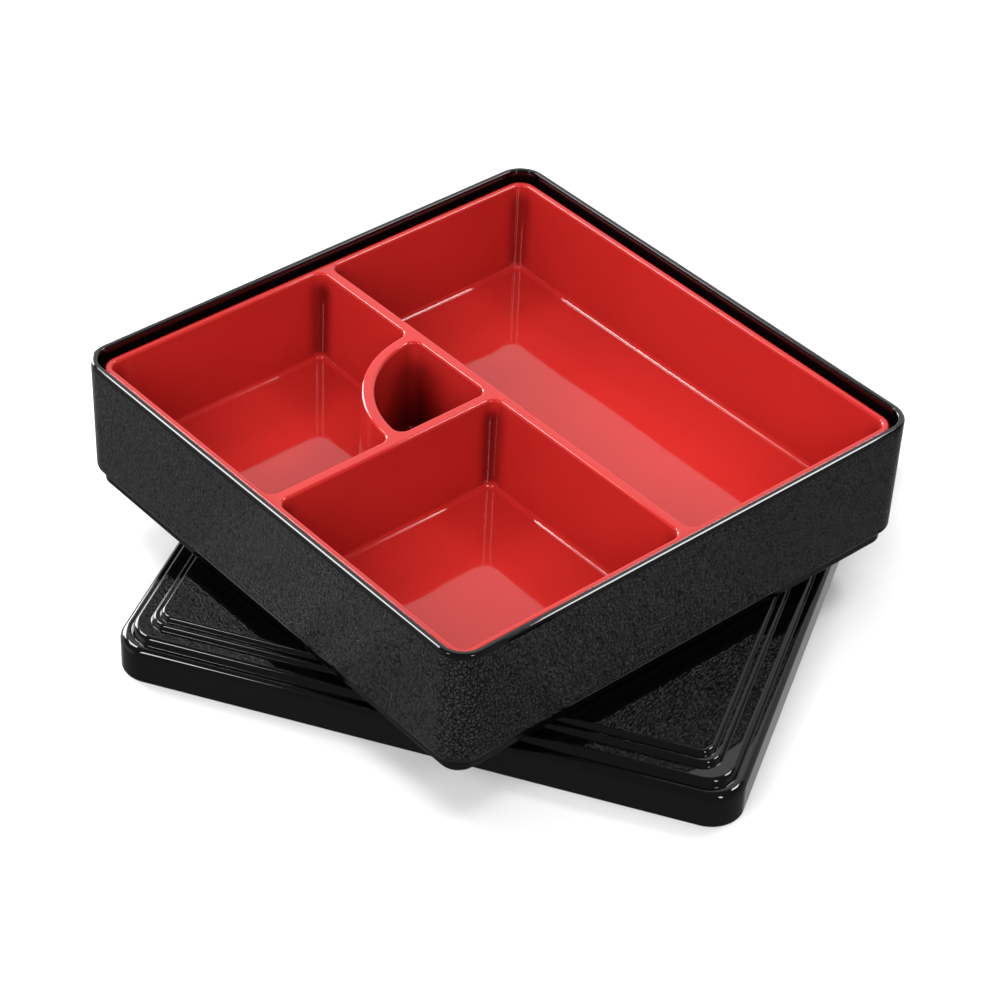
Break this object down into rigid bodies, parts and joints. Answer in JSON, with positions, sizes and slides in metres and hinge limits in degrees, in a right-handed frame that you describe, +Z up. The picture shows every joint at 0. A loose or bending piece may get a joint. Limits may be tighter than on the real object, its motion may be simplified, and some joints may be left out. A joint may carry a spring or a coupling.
{
  "type": "compartment lunch box",
  "caption": "Square lunch box with a rounded rim and grained walls, a divided tray inside it, and a stepped lid lying under it.",
  "frame": {"origin": "centre of the lid's outline, at the height of the surface that the lid lies on", "axes": "+Z up; X and Y along the walls of the outer box, with +Y towards the large compartment and -X towards the compartment next to the sauce compartment; the lid is turned 31.2 degrees about +Z against them"},
  "size_m": [0.3712, 0.3712, 0.0924],
  "materials": {
    "grained_black": "black plastic with a fine leather-like grain on the outside walls and a glossy rim",
    "gloss_black": "polished black plastic",
    "gloss_red": "polished red plastic"
  },
  "bodies": {
    "root": {"outer_box": "grained_black", "compartment_tray": "gloss_red", "lid": "gloss_black"}
  },
  "joints": []
}
